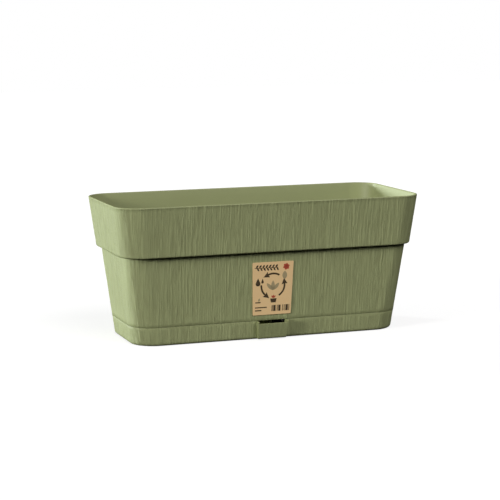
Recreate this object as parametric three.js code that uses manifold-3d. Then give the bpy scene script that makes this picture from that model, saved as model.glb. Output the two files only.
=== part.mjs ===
// Self-watering window-box planter, in millimetres, +Z up.
// Origin: centre of the footprint on the surface the planter stands on.
// X runs along the length, and the front, with its filler spout and card, faces -Y.
//
// The pieces, from the ground up: a reservoir tray with a filler spout, a planter box that
// plugs into it, a card label on the box, a perforated grid that stands on the box floor, and
// four wick baskets with felt wicks that hang from the grid down into the water.

import * as THREE from 'three';
import { mergeVertices } from 'three/addons/utils/BufferGeometryUtils.js';
import Module from 'manifold-3d';

// ---------------------------------------------------------------- driving dimensions

// Outer form
const rimLength = 400;
const rimWidth = 180;
const height = 175;
const bandDepth = 63.2; // the deep band below the rim
const bandDraft = 7.3; // how far the band closes in on each side, top to lower edge
const bandStep = 6.7; // how far the body stands in behind the band's lower edge
const bodyDraft = 11.1; // how far the body closes in on each side, band edge to ground
const bandCornerRadius = 31;
const bodyTopRadius = 22; // the body's corners, just under the band
const bodyFootRadius = 32; // and at the ground

// Walls of the planter box
const boxWall = 2.4;
const bandWall = 2.6;
const boxFloor = 2.4;
const lipRounding = 1.2;
const bandEdgeRounding = 1.6;
const bandHollow = 9; // how far the hollow behind the band's lower edge reaches up

// Reservoir tray
const trayHeight = 23.8; // the seam between tray and box
const seamGap = 0.35;
const trayWall = 2.2;
const trayFloor = 2.2;
const footWidth = 7; // the standing rim round the underside
const footRecess = 1.3;
const baseRounding = 3.5;
const postRadius = 6;
const postWall = 2;
const postOffset = 38; // each side of the middle line

// Filler spout at the front of the tray
const spoutWidth = 40; // at the lip
const spoutSideDraft = 1.9; // how far each cheek closes in, lip to ground
const spoutReach = 9.2; // at the lip
const spoutFootReach = 6.2; // at the ground
const spoutGroundGap = 1;
const spoutLipDrop = 2.4; // below the top of the tray
const spoutWall = 1.4;
const spoutRounding = 0.7; // along the lip
const spoutFootRounding = 2;
const cheekRounding = 1.2; // at the cheeks' top front corners, which are level with the tray

// Locating skirt under the box, which plugs into the tray
const skirtDepth = 13;
const skirtWall = 1.8;
const skirtClearance = 0.7;
const skirtGapMargin = 3; // on each side of the spout, so that water runs in

// Grid insert
const gridLegHeight = 10;
const gridThickness = 2.2;
const gridEdgeHeight = 4.5;
const gridEdgeWall = 1.8;
const gridClearance = 2;
const gridLegRadius = 5;
const gridLegWall = 1.5;
const gridSlotLength = 16;
const gridSlotWidth = 3.2;
const gridSlotPitchX = 10;
const gridSlotPitchY = 21;

// Wick baskets and felt wicks
const basketCount = 4;
const basketSpacing = 80;
const basketTopRadius = 17;
const basketFootRadius = 13.5;
const basketWall = 1.6;
const basketFlange = 4.2; // how far the flange stands out on the grid
const basketFlangeThickness = 1.8;
const basketSlots = 8;
const basketSlotWidth = 3;
const basketSlotMargin = 3.2; // between a slot's ends and the basket's floor or the grid
const basketGroundGap = 2; // between the basket's foot and the tray floor
const seatClearance = 0.8; // round a basket, in the grid
const wellClearance = 2; // round a basket, in the box floor
const drainRadius = 2.6;
const feltThickness = 2.5;
const feltWidth = 14;
const feltLegSpacing = 13;
const feltOverhang = 5; // how far each tail lies out past the flange
const feltBend = 3;

// Card label, between the seam and the band
const labelTopWidth = 54.4;
const labelFootWidth = 50.6;
const labelFootMargin = 7.2;
const labelTopMargin = 13;
const labelThickness = 0.5;

// Fits and fineness
const restGap = 0.4; // between pieces that stand on each other
const cardGap = 0.3;
const cutPast = 1; // how far a cutting shape runs on past the face it cuts
const cornerSteps = 7;
const roundSteps = 24;
const pipeSteps = 16;
const holeSteps = 10;

// ---------------------------------------------------------------- derived places

const bandEdgeZ = height - bandDepth;
const trayTopZ = trayHeight - seamGap / 2;
const boxFootZ = trayHeight + seamGap / 2;
const boxFloorZ = boxFootZ + boxFloor;
const trayFloorZ = footRecess + trayFloor;
const gridZ = boxFloorZ + gridLegHeight + restGap;
const gridTopZ = gridZ + gridThickness;
const flangeZ = gridTopZ + restGap;
const basketTopZ = flangeZ + basketFlangeThickness;
const basketFootZ = trayFloorZ + basketGroundGap;
const basketPlaces = Array.from({ length: basketCount },
  (_, i) => (i - (basketCount - 1) / 2) * basketSpacing);
const labelFootZ = boxFootZ + labelFootMargin;

// The tray's posts and the grid's legs stand in pairs midway between the baskets, and the
// drain holes in fours round each basket.
const legPlaces = basketPlaces.slice(1).flatMap(
  (x) => [-1, 1].map((side) => [x - basketSpacing / 2, side * postOffset]));
const drainPlaces = basketPlaces.flatMap((x) => [-1, 1].flatMap(
  (end) => [-1, 1].map((side) => [x + end * basketSpacing / 4, side * postOffset])));

// Half length, half width and corner radius of the outside at a height.
function bodyOutline(z, inset = 0) {
  const rise = z / bandEdgeZ;
  const out = bodyDraft * (rise - 1) - bandDraft - bandStep - inset;
  const radius = bodyFootRadius + (bodyTopRadius - bodyFootRadius) * rise - inset;
  return [rimLength / 2 + out, rimWidth / 2 + out, radius];
}

function bandOutline(z, inset = 0) {
  const out = -bandDraft * (height - z) / bandDepth - inset;
  return [rimLength / 2 + out, rimWidth / 2 + out, bandCornerRadius - inset];
}

const frontY = (z) => -bodyOutline(z)[1];

// The outside of the spout's slanting face, up to its lip, and of its drafted cheeks.
const lipZ = trayTopZ - spoutLipDrop;
const spoutY = (z) => frontY(z) - spoutFootReach - (spoutReach - spoutFootReach) * z / lipZ;
const spoutHalf = (z) => spoutWidth / 2 - spoutSideDraft * (1 - z / lipZ);

// ---------------------------------------------------------------- solids

const wasm = await Module();
wasm.setup();

// A closed geometry as a solid that can be cut and joined.
function toSolid(geometry) {
  const bare = geometry.index ? geometry.toNonIndexed() : geometry.clone();
  bare.deleteAttribute('normal');
  bare.deleteAttribute('uv');
  const merged = mergeVertices(bare, 1e-4);
  return new wasm.Manifold(new wasm.Mesh({
    numProp: 3,
    vertProperties: new Float32Array(merged.attributes.position.array),
    triVerts: new Uint32Array(merged.index.array),
  }));
}

function toGeometry(solid) {
  const mesh = solid.getMesh();
  const geometry = new THREE.BufferGeometry();
  geometry.setAttribute('position', new THREE.BufferAttribute(new Float32Array(mesh.vertProperties), 3));
  geometry.setIndex(new THREE.BufferAttribute(new Uint32Array(mesh.triVerts), 1));
  const faceted = geometry.toNonIndexed();
  faceted.computeVertexNormals();
  return faceted;
}

// Points round a rounded rectangle, anticlockwise seen from above.
function roundedLoop([halfLength, halfWidth, radius], z) {
  const r = Math.max(radius, 0.5);
  const corners = [[1, 1, 0], [-1, 1, 1], [-1, -1, 2], [1, -1, 3]];
  return corners.flatMap(([sx, sy, quarter]) => Array.from({ length: cornerSteps + 1 }, (_, i) => {
    const angle = (quarter + i / cornerSteps) * Math.PI / 2;
    return new THREE.Vector3(
      sx * (halfLength - r) + r * Math.cos(angle), sy * (halfWidth - r) + r * Math.sin(angle), z);
  }));
}

// A solid skinned over loops of equal count. The first and last loops are capped, or joined to
// each other when the stack is a ring. The loops run up the outside and down the inside.
function skin(loops, ring = false) {
  const count = loops[0].length;
  const points = loops.flat();
  const index = [];
  const strips = ring ? loops.length : loops.length - 1;
  for (let k = 0; k < strips; k++) {
    const low = k * count;
    const high = ((k + 1) % loops.length) * count;
    for (let i = 0; i < count; i++) {
      const j = (i + 1) % count;
      index.push(low + i, low + j, high + j, low + i, high + j, high + i);
    }
  }
  if (!ring) {
    const last = (loops.length - 1) * count;
    for (let i = 1; i < count - 1; i++) {
      index.push(0, i + 1, i, last, last + i, last + i + 1);
    }
  }
  const geometry = new THREE.BufferGeometry().setFromPoints(points);
  geometry.setIndex(index);
  return toSolid(geometry);
}

// A straight prism: a closed outline drawn in XY and raised from z = low to z = high.
function prism(points, low, high) {
  const shape = new THREE.Shape(points.map(([x, y]) => new THREE.Vector2(x, y)));
  const geometry = new THREE.ExtrudeGeometry(shape, { depth: high - low, bevelEnabled: false });
  return toSolid(geometry.translate(0, 0, low));
}

// A prism that runs along X, from an outline drawn in YZ, with its half length at each height.
function prismAlongX(points, halfLengthAt) {
  const turn = new THREE.Matrix4().makeBasis(
    new THREE.Vector3(0, 1, 0), new THREE.Vector3(0, 0, 1), new THREE.Vector3(1, 0, 0));
  const shape = new THREE.Shape(points.map(([y, z]) => new THREE.Vector2(y, z)));
  const geometry = new THREE.ExtrudeGeometry(shape, { depth: 1, bevelEnabled: false });
  const place = geometry.applyMatrix4(turn).attributes.position;
  for (let i = 0; i < place.count; i++) {
    place.setX(i, (2 * place.getX(i) - 1) * halfLengthAt(place.getZ(i)));
  }
  return toSolid(geometry);
}

// A turned solid about a vertical axis, from a closed profile of [radius, z] points.
function turned(profile, x = 0, y = 0, steps = roundSteps) {
  const points = [...profile, profile[0]].map(([r, z]) => new THREE.Vector2(r, z));
  const geometry = new THREE.LatheGeometry(points, steps);
  return toSolid(geometry.rotateX(Math.PI / 2).translate(x, y, 0));
}

const plug = (radius, low, high, x, y, steps) => turned(
  [[0, low], [radius, low], [radius, high], [0, high]], x, y, steps);

const pipe = (radius, wall, low, high, x, y) => turned(
  [[radius - wall, low], [radius, low], [radius, high], [radius - wall, high]], x, y, pipeSteps);

const join = (solids) => solids.reduce((sum, solid) => sum.add(solid));

const cut = (solid, tools) => tools.reduce((rest, tool) => rest.subtract(tool), solid);

// Quarter-round steps between two angles, as [cos, sin] pairs.
const quarter = (from, steps = 3) => Array.from({ length: steps + 1 }, (_, i) => {
  const angle = from + i / steps * Math.PI / 2;
  return [Math.cos(angle), Math.sin(angle)];
});

// ---------------------------------------------------------------- reservoir tray

function reservoirTray() {
  const foot = quarter(-Math.PI / 2, 4).map(([c, s]) => {
    const z = baseRounding * (1 + s);
    return roundedLoop(bodyOutline(z, baseRounding * (1 - c)), z);
  });
  const footInner = baseRounding + footWidth;
  const shell = skin([
    roundedLoop(bodyOutline(0, footInner + footRecess), footRecess),
    roundedLoop(bodyOutline(0, footInner), 0),
    ...foot,
    roundedLoop(bodyOutline(trayTopZ), trayTopZ),
    roundedLoop(bodyOutline(trayTopZ, trayWall), trayTopZ),
    roundedLoop(bodyOutline(trayFloorZ, trayWall), trayFloorZ),
  ]);

  const open = trayTopZ + cutPast;
  const spoutFoot = quarter(-Math.PI / 2, 2).map(([c, s]) => {
    const z = spoutGroundGap + spoutFootRounding * (1 + s);
    return [spoutY(z) + spoutFootRounding * (1 - c), z];
  });
  const spoutOuter = prismAlongX([
    [frontY(0) + baseRounding, spoutGroundGap],
    ...spoutFoot,
    [spoutY(trayTopZ - cheekRounding), trayTopZ - cheekRounding],
    [spoutY(trayTopZ) + cheekRounding, trayTopZ],
    [frontY(trayTopZ) + trayWall / 2, trayTopZ],
  ], spoutHalf);
  const betweenCheeks = (z) => spoutHalf(z) - spoutWall;
  const pocketBack = frontY(trayFloorZ) + trayWall + cutPast;
  const pocket = prismAlongX([
    [pocketBack, trayFloorZ],
    [spoutY(trayFloorZ) + spoutWall, trayFloorZ],
    [spoutY(lipZ) + spoutWall, lipZ],
    [spoutY(lipZ) + spoutWall, open],
    [pocketBack, open],
  ], betweenCheeks);
  const overLip = prismAlongX([
    [spoutY(lipZ) - cutPast, lipZ - spoutRounding],
    [spoutY(lipZ - spoutRounding), lipZ - spoutRounding],
    [spoutY(lipZ) + spoutRounding, lipZ],
    [spoutY(lipZ) + spoutWall + cutPast, lipZ],
    [spoutY(lipZ) + spoutWall + cutPast, open],
    [spoutY(lipZ) - cutPast, open],
  ], betweenCheeks);

  const posts = legPlaces.map(([x, y]) => pipe(
    postRadius, postWall, trayFloorZ - trayFloor / 2, boxFootZ - restGap, x, y));
  return join([cut(shell.add(spoutOuter), [pocket, overLip]), ...posts]);
}

// ---------------------------------------------------------------- planter box

function planterBox() {
  const hollowZ = bandEdgeZ + bandHollow;
  const ledgeZ = hollowZ + bandWall;
  const edge = quarter(-Math.PI / 2).map(([c, s]) => {
    const z = bandEdgeZ + bandEdgeRounding * (1 + s);
    return roundedLoop(bandOutline(z, bandEdgeRounding * (1 - c)), z);
  });
  const lipLoop = (inset, s) => roundedLoop(bandOutline(height, inset), height - lipRounding * (1 - s));
  const lipOutside = quarter(0, 2).map(([c, s]) => lipLoop(lipRounding * (1 - c), s));
  const lipInside = quarter(Math.PI / 2, 2).map(([c, s]) => lipLoop(bandWall - lipRounding * (1 + c), s));
  const shell = skin([
    roundedLoop(bodyOutline(boxFootZ), boxFootZ),
    roundedLoop(bodyOutline(hollowZ), hollowZ),
    roundedLoop(bandOutline(hollowZ, bandWall), hollowZ),
    roundedLoop(bandOutline(bandEdgeZ, bandWall), bandEdgeZ),
    ...edge,
    ...lipOutside,
    ...lipInside,
    roundedLoop(bandOutline(ledgeZ, bandWall), ledgeZ),
    roundedLoop(bodyOutline(ledgeZ, boxWall), ledgeZ),
    roundedLoop(bodyOutline(boxFloorZ, boxWall), boxFloorZ),
  ]);

  const skirtTop = boxFootZ + boxFloor / 2;
  const skirtFoot = boxFootZ - skirtDepth;
  const inset = trayWall + skirtClearance;
  const skirt = skin([
    roundedLoop(bodyOutline(skirtFoot, inset + skirtWall), skirtFoot),
    roundedLoop(bodyOutline(skirtFoot, inset), skirtFoot),
    roundedLoop(bodyOutline(skirtTop, inset), skirtTop),
    roundedLoop(bodyOutline(skirtTop, inset + skirtWall), skirtTop),
  ], true);
  const gapFront = frontY(boxFootZ);
  const gapBack = frontY(skirtFoot) + inset + skirtWall + cutPast;
  const skirtGap = prismAlongX([
    [gapFront, skirtFoot - cutPast],
    [gapBack, skirtFoot - cutPast],
    [gapBack, boxFootZ],
    [gapFront, boxFootZ],
  ], () => spoutWidth / 2 + skirtGapMargin);

  const wells = basketPlaces.map((x) => plug(
    basketTopRadius + wellClearance, boxFootZ - cutPast, boxFloorZ + cutPast, x, 0, roundSteps));
  const drains = drainPlaces.map(([x, y]) => plug(
    drainRadius, boxFootZ - cutPast, boxFloorZ + cutPast, x, y, holeSteps));
  return cut(shell.add(skirt.subtract(skirtGap)), [...wells, ...drains]);
}

// ---------------------------------------------------------------- card label

function productLabel() {
  const slope = Math.atan2(bodyDraft, bandEdgeZ);
  const labelHeight = (bandEdgeZ - labelTopMargin - labelFootZ) / Math.cos(slope);
  const shape = new THREE.Shape([
    new THREE.Vector2(-labelFootWidth / 2, 0),
    new THREE.Vector2(labelFootWidth / 2, 0),
    new THREE.Vector2(labelTopWidth / 2, labelHeight),
    new THREE.Vector2(-labelTopWidth / 2, labelHeight),
  ]);
  const geometry = new THREE.ExtrudeGeometry(shape, { depth: labelThickness, bevelEnabled: false });
  geometry.translate(0, 0, cardGap);
  geometry.rotateX(Math.PI / 2 + slope);
  return geometry.translate(0, frontY(labelFootZ), labelFootZ);
}

// ---------------------------------------------------------------- grid insert

function soilGrid() {
  const rest = boxWall + gridClearance;
  const edgeTop = gridZ + gridEdgeHeight;
  const plate = skin([
    roundedLoop(bodyOutline(gridZ, rest), gridZ),
    roundedLoop(bodyOutline(gridZ, rest), edgeTop),
    roundedLoop(bodyOutline(gridZ, rest + gridEdgeWall), edgeTop),
    roundedLoop(bodyOutline(gridZ, rest + gridEdgeWall), gridTopZ),
  ]);
  const legs = legPlaces.map(([x, y]) => pipe(
    gridLegRadius, gridLegWall, boxFloorZ + restGap, gridZ + gridThickness / 2, x, y));
  const seats = basketPlaces.map((x) => plug(
    basketTopRadius + seatClearance, gridZ - cutPast, gridTopZ + cutPast, x, 0, roundSteps));

  const field = bodyOutline(gridZ, rest + gridEdgeWall + gridSlotWidth);
  const slots = [];
  const columns = Math.floor(field[0] / gridSlotPitchX);
  const rows = Math.floor(field[1] / gridSlotPitchY);
  for (let i = -columns; i <= columns; i++) {
    for (let j = -rows; j <= rows; j++) {
      const x = i * gridSlotPitchX;
      const y = j * gridSlotPitchY;
      if (slotIsClear(x, y, field)) {
        slots.push(slotPrism(x, y));
      }
    }
  }
  return cut(join([plate, ...legs]), [...seats, ...slots]);
}

// A slot keeps off the basket seats, the legs and the rounded corners.
function slotIsClear(x, y, [halfLength, halfWidth, radius]) {
  const reach = gridSlotLength / 2;
  const ends = [-reach, 0, reach].map((d) => [x, y + d]);
  const offSeats = basketPlaces.every((place) => ends.every(([px, py]) =>
    Math.hypot(px - place, py) > basketTopRadius + basketFlange + gridSlotWidth));
  const offLegs = legPlaces.every(([lx, ly]) => ends.every(([px, py]) =>
    Math.hypot(px - lx, py - ly) > gridLegRadius + gridSlotWidth));
  const cornerX = Math.max(Math.abs(x) - (halfLength - radius), 0);
  const cornerY = Math.max(Math.abs(y) + reach - (halfWidth - radius), 0);
  return offSeats && offLegs && Math.hypot(cornerX, cornerY) < radius;
}

function slotPrism(x, y) {
  const w = gridSlotWidth / 2;
  const l = gridSlotLength / 2;
  return prism([
    [x - w, y - l + w], [x, y - l], [x + w, y - l + w],
    [x + w, y + l - w], [x, y + l], [x - w, y + l - w],
  ], gridZ - cutPast, gridTopZ + cutPast);
}

// ---------------------------------------------------------------- wick baskets and felts

function wickBasket(x) {
  const cup = turned([
    [0, basketFootZ],
    [basketFootRadius, basketFootZ],
    [basketTopRadius, flangeZ],
    [basketTopRadius + basketFlange, flangeZ],
    [basketTopRadius + basketFlange, basketTopZ],
    [basketTopRadius - basketWall, basketTopZ],
    [basketFootRadius - basketWall, basketFootZ + basketWall],
    [0, basketFootZ + basketWall],
  ], x);
  const low = basketFootZ + basketWall + basketSlotMargin;
  const high = gridZ - basketSlotMargin;
  const slots = Array.from({ length: basketSlots / 2 }, (_, i) => {
    const geometry = new THREE.BoxGeometry(3 * basketTopRadius, basketSlotWidth, high - low);
    geometry.rotateZ((i + 0.5) * 2 * Math.PI / basketSlots);
    return toSolid(geometry.translate(x, 0, (low + high) / 2));
  });
  const footHole = plug(
    drainRadius, basketFootZ - cutPast, basketFootZ + basketWall + cutPast, x, 0, holeSteps);
  return cut(cup, [...slots, footHole]);
}

// The felt hangs in a basket as a U, and its two tails lie outward over the basket's flange.
function feltWick(x) {
  const half = feltLegSpacing / 2;
  const low = basketFootZ + basketWall + restGap + feltThickness / 2;
  const high = basketTopZ + restGap + feltThickness / 2;
  const tail = basketTopRadius + basketFlange + feltOverhang;
  const path = new THREE.Path();
  path.moveTo(tail, high);
  path.lineTo(half + feltBend, high);
  path.absarc(half + feltBend, high - feltBend, feltBend, Math.PI / 2, Math.PI, false);
  path.lineTo(half, low + half);
  path.absarc(0, low + half, half, 0, -Math.PI, true);
  path.lineTo(-half, high - feltBend);
  path.absarc(-half - feltBend, high - feltBend, feltBend, 0, Math.PI / 2, false);
  path.lineTo(-tail, high);
  const centre = path.getPoints(6).filter(
    (point, i, all) => i === 0 || point.distanceTo(all[i - 1]) > 1e-6);
  const side = (sign) => centre.map((point, i) => {
    const before = centre[Math.max(i - 1, 0)];
    const after = centre[Math.min(i + 1, centre.length - 1)];
    const along = after.clone().sub(before).normalize();
    return [point.x - along.y * sign * feltThickness / 2, point.y + along.x * sign * feltThickness / 2];
  });
  const outline = [...side(1), ...side(-1).reverse()].map(([px, pz]) => new THREE.Vector2(px, pz));
  const shape = new THREE.Shape(outline);
  const geometry = new THREE.ExtrudeGeometry(shape, { depth: feltWidth, bevelEnabled: false });
  return geometry.translate(0, 0, -feltWidth / 2).rotateX(Math.PI / 2).translate(x, 0, 0);
}

// ---------------------------------------------------------------- the planter

const greenPlastic = new THREE.MeshStandardMaterial({ color: 0x8f9a68, roughness: 0.55, metalness: 0 });
const darkPlastic = new THREE.MeshStandardMaterial({ color: 0x3b3f38, roughness: 0.5, metalness: 0 });
const kraftCard = new THREE.MeshStandardMaterial({ color: 0xb5976a, roughness: 0.9, metalness: 0 });
const greyFelt = new THREE.MeshStandardMaterial({ color: 0xd6d3c8, roughness: 1, metalness: 0 });

const planter = new THREE.Group();

function place(name, shape, material) {
  const geometry = shape.isBufferGeometry ? shape : toGeometry(shape);
  const mesh = new THREE.Mesh(geometry, material.clone());
  mesh.name = name;
  planter.add(mesh);
}

place('reservoir_tray', reservoirTray(), greenPlastic);
place('planter_box', planterBox(), greenPlastic);
place('product_label', productLabel(), kraftCard);
place('soil_grid', soilGrid(), darkPlastic);
basketPlaces.forEach((x, i) => {
  place(`wick_basket_${i + 1}`, wickBasket(x), darkPlastic);
  place(`felt_wick_${i + 1}`, feltWick(x), greyFelt);
});

export default planter;
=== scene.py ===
import math

import bmesh
import bpy
import numpy as np
from mathutils import Matrix, Vector


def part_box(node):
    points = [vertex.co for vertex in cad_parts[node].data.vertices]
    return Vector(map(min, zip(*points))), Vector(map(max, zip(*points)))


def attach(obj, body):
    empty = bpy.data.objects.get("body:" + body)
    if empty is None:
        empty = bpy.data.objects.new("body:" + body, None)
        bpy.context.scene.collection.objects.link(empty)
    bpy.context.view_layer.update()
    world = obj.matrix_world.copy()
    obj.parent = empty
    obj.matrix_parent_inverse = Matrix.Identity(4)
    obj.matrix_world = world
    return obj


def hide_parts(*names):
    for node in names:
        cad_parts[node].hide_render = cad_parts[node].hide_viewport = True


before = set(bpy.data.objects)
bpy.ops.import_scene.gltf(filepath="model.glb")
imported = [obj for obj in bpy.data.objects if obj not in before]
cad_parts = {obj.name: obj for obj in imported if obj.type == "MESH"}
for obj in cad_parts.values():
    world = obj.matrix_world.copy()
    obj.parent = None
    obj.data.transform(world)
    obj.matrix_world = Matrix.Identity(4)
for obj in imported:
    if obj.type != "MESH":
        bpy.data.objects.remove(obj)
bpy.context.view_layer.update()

# -------------------- Camera
# The planter is seen from the front left and a little above, through a long lens, so that its
# left end, its front and a strip of the inside all show.
camera_azimuth = math.radians(-19.281)
camera_elevation = math.radians(8.277)
camera_roll = math.radians(-0.378)
camera_distance = 1.8575
camera_target = Vector((-0.10885, -0.29921, 0.14961))

to_camera = Vector((
    math.sin(camera_azimuth) * math.cos(camera_elevation),
    -math.cos(camera_azimuth) * math.cos(camera_elevation),
    math.sin(camera_elevation)))
level_right = (-to_camera).cross(Vector((0, 0, 1))).normalized()
level_up = level_right.cross(-to_camera)
camera_right = math.cos(camera_roll) * level_right + math.sin(camera_roll) * level_up
camera_up = to_camera.cross(camera_right)
camera_data = bpy.data.cameras.new("camera")
camera_data.sensor_width = 36
camera_data.lens = 122.194
camera = bpy.data.objects.new("camera", camera_data)
camera.matrix_world = Matrix.LocRotScale(
    camera_target + camera_distance * to_camera,
    Matrix((camera_right, camera_up, to_camera)).transposed(), None)
bpy.context.scene.collection.objects.link(camera)
bpy.context.scene.camera = camera

# -------------------- Reservoir tray
# A shallow injection-moulded tray that the whole planter stands on. It holds the water, has a
# filler spout moulded on its front, and carries the same upright bark grain as the box.
rim_low, rim_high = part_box("planter_box")
rim_length = rim_high.x - rim_low.x
rim_width = rim_high.y - rim_low.y
height = rim_high.z
band_depth = 0.0632
band_draft = 0.0073
band_step = 0.0067
body_draft = 0.0111
band_corner = 0.031
body_top_corner = 0.022
body_foot_corner = 0.032
band_edge_z = height - band_depth

seam_z = 0.0238
seam_gap = 0.00035
tray_wall = 0.0022
tray_floor_z = 0.0035
foot_recess = 0.0013
foot_width = 0.007
base_rounding = 0.0035
tray_top_z = seam_z - seam_gap / 2
tray_edge_rounding = 0.00018
seam_grain = 0.35
inner_fillet = 0.001

grain_row = 0.0040
columns_along = 410
columns_across = 132
columns_corner = 56


def middle_pitch(out, radius):
    """The way round the wall from one face's middle to the next one's."""
    return (rim_length + rim_width) / 2 + 2 * out - (2 - math.pi / 2) * radius


body_pitch = middle_pitch(-band_draft - band_step - body_draft / 2,
                          (body_top_corner + body_foot_corner) / 2)
band_pitch = middle_pitch(-band_draft / 2, band_corner)


def body_outline(z, inset=0.0):
    """Half length, half width and corner radius of the tapering body at a height, and how far
    apart the middles of its faces count as lying."""
    out = body_draft * (z / band_edge_z - 1) - band_draft - band_step - inset
    radius = body_foot_corner + (body_top_corner - body_foot_corner) * z / band_edge_z - inset
    return rim_length / 2 + out, rim_width / 2 + out, radius, body_pitch


def band_outline(z, inset=0.0):
    """The same for the band below the rim."""
    out = -band_draft * (height - z) / band_depth - inset
    return rim_length / 2 + out, rim_width / 2 + out, band_corner - inset, band_pitch


def wall_columns(outline, fine=1.0):
    """Points anticlockwise round a rounded rectangle from the middle of the back. Each has its
    place along the grain, measured from its own face's middle and blended round the corner, so
    the grain stays upright on every face."""
    half_length, half_width, radius, pitch = outline
    radius = max(radius, 0.0004)
    straight = (half_length - radius, half_width - radius)
    along = max(2, int(columns_along * fine))
    across = max(2, int(columns_across * fine))
    corner = max(3, int(columns_corner * fine))
    points, places = [], []
    for face in range(-2, 3):
        own, other = straight[face % 2], straight[(face + 1) % 2]
        turn = face * math.pi / 2
        reach = [half_width, half_length][face % 2]
        first, last = (0 if face == -2 else -own), (0 if face == 2 else own)
        steps = across if face % 2 else (along if face == 0 else along // 2)
        t = np.linspace(first, last, steps, endpoint=False)
        points.append(np.stack([t * math.cos(turn) + reach * math.sin(turn),
                                t * math.sin(turn) - reach * math.cos(turn)], 1))
        places.append(face * pitch + t)
        if face == 2:
            break
        a = np.linspace(0, math.pi / 2, corner, endpoint=False)
        u, v = own + radius * np.sin(a), reach - radius + radius * np.cos(a)
        points.append(np.stack([u * math.cos(turn) + v * math.sin(turn),
                                u * math.sin(turn) - v * math.cos(turn)], 1))
        share = a / (math.pi / 2)
        from_own = face * pitch + own + radius * a
        from_next = (face + 1) * pitch - other - radius * (math.pi / 2 - a)
        places.append((1 - share) * from_own + share * from_next)
    return np.concatenate(points), np.concatenate(places)


def wall_mesh(name, loops, fine=1.0, ring=False):
    """A closed skin over loops of (outline, z, grain), which run up the outside and down the
    inside. The first and last loops are capped, or joined to each other in a ring."""
    rows = [(wall_columns(outline, fine), z, grain) for outline, z, grain in loops]
    count = len(rows[0][0][0])
    places = np.concatenate([np.column_stack([xy, np.full(count, z)]) for (xy, _), z, _ in rows])
    grain_place = np.concatenate([
        np.column_stack([along, np.full(count, z), np.zeros(count)]) for (_, along), z, _ in rows])
    grain_mask = np.repeat([grain for _, _, grain in rows], count)
    i = np.arange(count)
    j = (i + 1) % count
    faces = []
    for k in range(len(rows) - (0 if ring else 1)):
        low, high = k * count, (k + 1) % len(rows) * count
        faces += np.stack([low + i, low + j, high + j, high + i], 1).tolist()
    if not ring:
        faces.append(i[::-1].tolist())
        faces.append(((len(rows) - 1) * count + i).tolist())
    mesh = bpy.data.meshes.new(name)
    mesh.from_pydata(places.tolist(), [], faces)
    give_grain(mesh, grain_place, grain_mask)
    return mesh


def give_grain(mesh, grain_place, grain_mask):
    mesh.attributes.new("grain_place", "FLOAT_VECTOR", "POINT").data.foreach_set(
        "vector", grain_place.astype(np.float32).ravel())
    mesh.attributes.new("grain_mask", "FLOAT", "POINT").data.foreach_set(
        "value", grain_mask.astype(np.float32))


def arc(start, steps=3):
    """Pairs (cos, sin) through a quarter turn from the start angle."""
    return [(math.cos(a), math.sin(a)) for a in np.linspace(start, start + math.pi / 2, steps + 1)]


def add_object(name, mesh):
    piece = bpy.data.objects.new(name, mesh)
    bpy.context.scene.collection.objects.link(piece)
    return piece


def settle(piece):
    """Turns a piece's live modifiers into its plain mesh."""
    graph = bpy.context.evaluated_depsgraph_get()
    mesh = bpy.data.meshes.new_from_object(piece.evaluated_get(graph))
    piece.modifiers.clear()
    piece.data = mesh
    return piece


def node(tree, kind, wires=None, **settings):
    """Adds a node, with its settings and with each input either wired or set to a value."""
    made = tree.nodes.new(kind)
    for key, value in settings.items():
        setattr(made, key, value)
    for key, value in (wires or {}).items():
        if isinstance(value, bpy.types.NodeSocket):
            tree.links.new(value, made.inputs[key])
        else:
            made.inputs[key].default_value = value
    return made


def calc(tree, operation, *values, clamp=False):
    return node(tree, "ShaderNodeMath", dict(enumerate(values)),
                operation=operation, use_clamp=clamp).outputs[0]


def group_socket(tree, name, kind, value=None, way="INPUT"):
    socket = tree.interface.new_socket(name, in_out=way, socket_type=kind)
    if value is not None:
        socket.default_value = value


def streak_noise(tree, along, up, width, length, seed, detail):
    """Noise drawn out upright: width and length are the size of one streak."""
    place = node(tree, "ShaderNodeCombineXYZ", {
        0: calc(tree, "DIVIDE", along, width), 1: calc(tree, "DIVIDE", up, length), 2: seed})
    return node(tree, "ShaderNodeTexNoise", {
        "Vector": place.outputs[0], "Scale": 1.0, "Detail": detail}).outputs[0]


bend_width = 0.010
bend_length = 0.040
ridge_share = 0.9
broad_share = 0.6
marks_share = 1.2
split_share = 0.45
fibre_share = 0.8
middle_height = 0.42


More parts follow.
